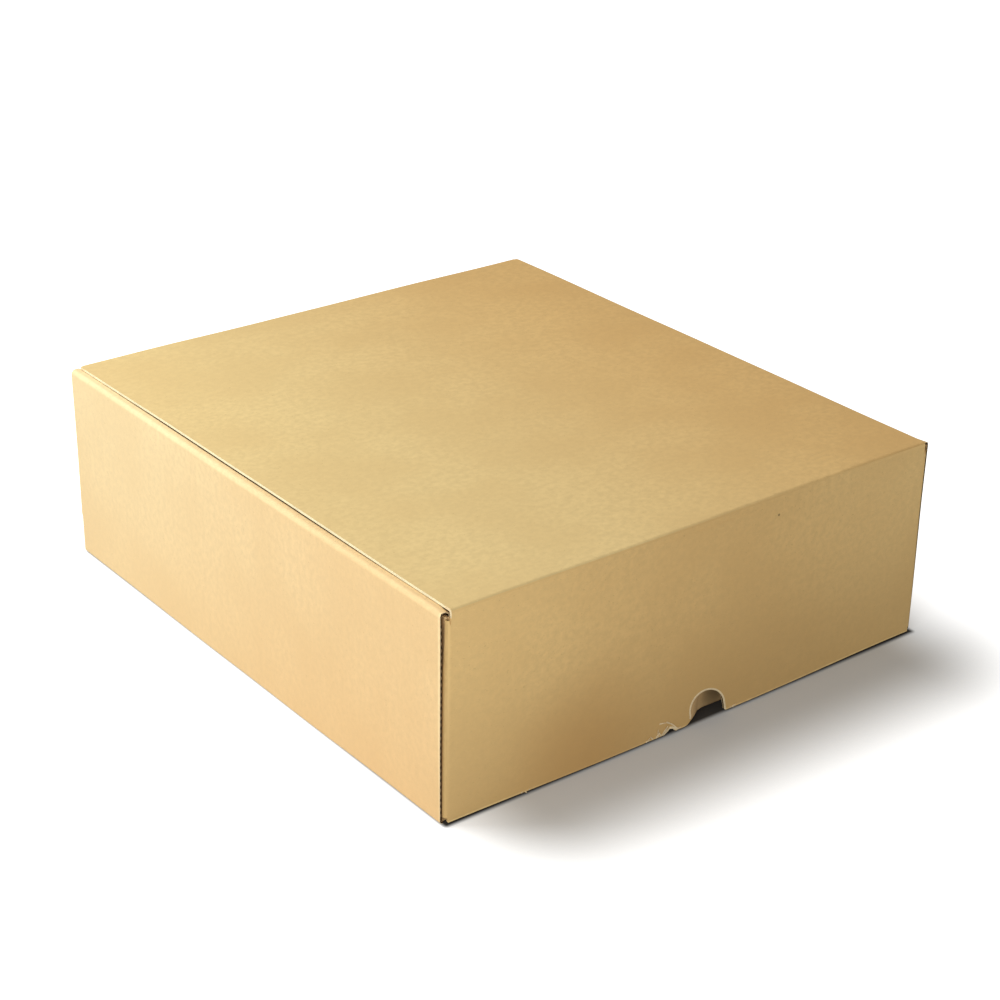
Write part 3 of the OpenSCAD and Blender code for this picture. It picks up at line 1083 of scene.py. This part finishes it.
class MAILER_OT_torn_fibres(bpy.types.Operator):
    """Slivers of torn paper at the tear and beside the thumb notch"""

    bl_idname = "mailer.torn_fibres"
    bl_label = "Torn Fibres"

    def sliver(self):
        """Thin tongue of paper, one step wide and four steps long, that narrows and curls up."""
        step = 0.001
        clear_selection()
        bpy.ops.mesh.primitive_plane_add(size=step, location=(step / 2, 0.0, 0.0))
        tongue = bpy.context.object
        tongue.name = "sliver"
        bpy.ops.object.transform_apply(location=True, rotation=True, scale=True)
        end = step
        for lift in (0.00008, 0.00016, 0.00026):
            pick(tongue, edges=lambda a, b: min(a.x, b.x) > end - SAME)
            bpy.ops.mesh.extrude_region_move(TRANSFORM_OT_translate={"value": (step, 0.0, lift)})
            bpy.ops.transform.resize(value=(1.0, 0.66, 1.0))
            close()
            end += step
        modify(tongue, "SOLIDIFY", thickness=0.00014, offset=0.0)
        modify(tongue, "BEVEL", width=0.00005, segments=2)
        return tongue

    def execute(self, context):
        first = self.sliver()
        # Root across and up from the tear's place in millimetres, direction in degrees, length and width
        # against the first sliver
        laid = (
            (-7.0, 7.4, -8, 1.3, 0.7),
            (-2.6, 6.9, -33, 1.4, 0.8),
            (0.4, 5.0, -42, 1.5, 0.7),
            (-3.1, 1.4, 72, 0.9, 1.2),
            (-2.4, 0.8, 108, 0.6, 1.0),
            (-4.8, 0.3, 62, 1.1, 1.0),
            (-5.6, 0.3, 124, 0.9, 0.9),
            (-7.4, 0.2, 98, 1.2, 0.8),
            (-8.8, 0.2, 52, 0.8, 0.8),
            (-10.6, 0.2, 131, 0.9, 0.7),
            (-13.4, 0.2, 86, 0.5, 0.8),
            (-15.0, 0.2, 40, 0.4, 0.8),
            (0.2, 2.9, -18, 1.1, 1.3),
            (2.2, 2.2, -30, 0.8, 1.2),
            (3.9, 0.3, 20, 0.7, 0.9),
            (40.4, 0.2, 40, 0.5, 1.0),
            (39.4, 0.2, 128, 0.4, 0.8),
            (-84.0, 0.1, 112, 0.3, 0.7),
            (-86.2, 0.2, -64, 0.2, 0.7),
            (-88.6, 0.1, 58, 0.3, 0.8),
        )
        pieces = [first]
        for across, up, way, length, width in laid:
            activate(first)
            bpy.ops.object.duplicate()
            copy = bpy.context.object
            copy.location = (TEAR_X + across / 1000, FLAP_Y - 0.0001, FLAP_RISE + up / 1000)
            copy.rotation_euler = (math.pi / 2, -math.radians(way), 0.0)
            copy.scale = (length, width, 1.0)
            bpy.ops.object.transform_apply(location=True, rotation=True, scale=True)
            pieces.append(copy)
        bpy.data.objects.remove(first)
        fibres = join(pieces[1:], "torn_fibres")
        give(fibres, edge_finish())
        bow_out(fibres)
        relax(fibres)
        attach(fibres, "front_flap")
        return {"FINISHED"}


# Where the lamps stand, how large they are and how they are tinted
KEY_PLACE = (-0.52, 0.38, 0.64)
SIDE_PLACE = (-0.66, -0.60, 0.45)
LAMP_SIZE = (0.5, 0.5)
LAMP_TINT = (1.0, 0.99, 0.97)

# Where the camera stands, how it is turned in degrees, and its lens in millimetres
CAMERA_PLACE = (-0.638566, -0.827707, 0.560945)
CAMERA_TURN = (64.08998, -0.82825, -37.60857)
CAMERA_LENS = 80.3468


class MAILER_OT_stage(bpy.types.Operator):
    """White floor, soft light from the left and the camera"""

    bl_idname = "mailer.stage"
    bl_label = "Stage"

    def seen_directly(self, made):
        """1 where the floor is seen by the camera, in a reflection or through glass."""
        path = made.node("ShaderNodeLightPath")
        shown = made.math("MAXIMUM", path.outputs["Is Camera Ray"], path.outputs["Is Glossy Ray"])
        return made.math("MAXIMUM", shown, path.outputs["Is Transmission Ray"])

    def away_from(self, made, centre, half):
        """Distance on the floor from a rectangle's outline, 0 inside it."""
        shifted = made.vector("SUBTRACT", made.place(), centre + (0.0,)).outputs[0]
        mirrored = made.vector("ABSOLUTE", shifted).outputs[0]
        past = made.vector("SUBTRACT", mirrored, half + (1.0,)).outputs[0]
        outside = made.vector("MAXIMUM", past, (0.0, 0.0, 0.0)).outputs[0]
        return made.vector("LENGTH", outside).outputs["Value"]

    def floor(self, settings):
        """Wide floor with a painted contact shadow under the box's edge, dark in the box's cast shadow, and
        else as white as the backdrop.
        """
        clear_selection()
        bpy.ops.mesh.primitive_grid_add(
            x_subdivisions=4, y_subdivisions=4, size=12.0, location=(0.0, 0.0, -0.0005))
        floor = bpy.context.object
        floor.name = "studio_floor"
        bpy.ops.object.transform_apply(location=True, rotation=True, scale=True)
        made = Finish("floor_paper")
        made.tree.nodes.remove(made.shader)
        colour = tuple(settings.floor)
        # Painted contact shadow: the floor darkens to a tenth of its colour within a few millimetres of the
        # box's footprint
        contact = self.away_from(made, (0.0016, 0.0), (HALF_W - 0.0016, -FLAP_Y - 0.0012))
        beyond_painted_contact_shadow = made.spread(contact, 0.0, 0.0035)
        tone = made.tint(beyond_painted_contact_shadow, shade(colour, 0.1, 1.1), colour + (1.0,))
        paper = made.node("ShaderNodeBsdfDiffuse", tone)
        lit = self.away_from(made, (0.010, -0.0125), (0.110, 0.1675))
        glow = made.math("MULTIPLY", beyond_painted_contact_shadow, made.spread(lit, 0.0, 0.09))
        glow = made.math("MULTIPLY", self.seen_directly(made), glow)
        both = made.node("ShaderNodeAddShader", paper.outputs[0])
        made.put(made.node("ShaderNodeEmission", (1.0, 1.0, 1.0, 1.0), glow).outputs[0], both.inputs[1])
        made.put(both.outputs[0], made.tree.nodes["Material Output"].inputs["Surface"])
        give(floor, made.material)

    def world(self, scene, settings):
        """Light from all around, with a white backdrop where the camera sees past the floor."""
        world = bpy.data.worlds.new("studio")
        scene.world = world
        world.use_nodes = True
        tree = world.node_tree
        tree.nodes.clear()
        out = tree.nodes.new("ShaderNodeOutputWorld")
        mix = tree.nodes.new("ShaderNodeMixShader")
        path = tree.nodes.new("ShaderNodeLightPath")
        tree.links.new(path.outputs["Is Camera Ray"], mix.inputs[0])
        around, backdrop = ((1.0, 0.96, 0.90, 1.0), settings.ambient), ((1.0, 1.0, 1.0, 1.0), 1.0)
        for socket, (colour, strength) in zip(mix.inputs[1:], (around, backdrop)):
            light = tree.nodes.new("ShaderNodeBackground")
            light.inputs["Color"].default_value = colour
            light.inputs["Strength"].default_value = strength
            tree.links.new(light.outputs[0], socket)
        tree.links.new(mix.outputs[0], out.inputs["Surface"])

    def lamp(self, name, place, aim, size, power, colour):
        """Soft rectangular lamp at a place, turned to its aim; size is across and up."""
        bpy.ops.object.light_add(type="AREA", location=place)
        lamp = bpy.context.object
        lamp.name = name
        lamp.rotation_euler = (Vector(aim) - Vector(place)).to_track_quat("-Z", "Y").to_euler()
        lamp.data.shape = "RECTANGLE"
        lamp.data.size, lamp.data.size_y = size
        lamp.data.energy = power
        lamp.data.color = colour

    def execute(self, context):
        scene = context.scene
        settings = scene.mailer_stage
        scene.view_settings.view_transform = "Standard"
        self.floor(settings)
        self.world(scene, settings)
        middle = (0.0, 0.0, TOP_Z / 2)
        self.lamp("key", KEY_PLACE, middle, LAMP_SIZE, settings.key_power, LAMP_TINT)
        self.lamp("side", SIDE_PLACE, middle, LAMP_SIZE, settings.side_power, LAMP_TINT)
        bpy.ops.object.camera_add(location=CAMERA_PLACE, rotation=[math.radians(a) for a in CAMERA_TURN])
        camera = bpy.context.object
        camera.name = "photo_camera"
        camera.data.sensor_fit = "HORIZONTAL"
        camera.data.sensor_width = 36.0
        camera.data.lens = CAMERA_LENS
        camera.data.clip_start = 0.02
        scene.camera = camera
        return {"FINISHED"}


class MAILER_PT_sidebar(bpy.types.Panel):
    """Sizes, colours and pieces of the mailer box"""

    bl_idname = "MAILER_PT_sidebar"
    bl_label = "Mailer Box"
    bl_space_type = "VIEW_3D"
    bl_region_type = "UI"
    bl_category = "Mailer Box"

    def draw(self, context):
        for group in (context.scene.mailer_board, context.scene.mailer_colours, context.scene.mailer_stage):
            box = self.layout.box()
            for name in group.__annotations__:
                box.prop(group, name)
        for piece in OPERATORS:
            self.layout.operator(piece.bl_idname)


GROUPS = (MailerBoard, MailerColours, MailerStage)
OPERATORS = (
    MAILER_OT_stage,
    MAILER_OT_tray_board,
    MAILER_OT_lid_board,
    MAILER_OT_flap_board,
    MAILER_OT_creases,
    MAILER_OT_flutes,
    MAILER_OT_torn_fibres,
)


def register():
    for made in GROUPS + OPERATORS + (MAILER_PT_sidebar,):
        bpy.utils.register_class(made)
    bpy.types.Scene.mailer_board = PointerProperty(type=MailerBoard)
    bpy.types.Scene.mailer_colours = PointerProperty(type=MailerColours)
    bpy.types.Scene.mailer_stage = PointerProperty(type=MailerStage)


def unregister():
    del bpy.types.Scene.mailer_stage
    del bpy.types.Scene.mailer_colours
    del bpy.types.Scene.mailer_board
    for made in reversed(GROUPS + OPERATORS + (MAILER_PT_sidebar,)):
        bpy.utils.unregister_class(made)


def main():
    register()
    bpy.ops.mailer.stage()
    bpy.ops.mailer.tray_board()
    bpy.ops.mailer.lid_board()
    bpy.ops.mailer.flap_board()
    bpy.ops.mailer.creases()
    bpy.ops.mailer.flutes()
    bpy.ops.mailer.torn_fibres()


if __name__ == "__main__":
    main()
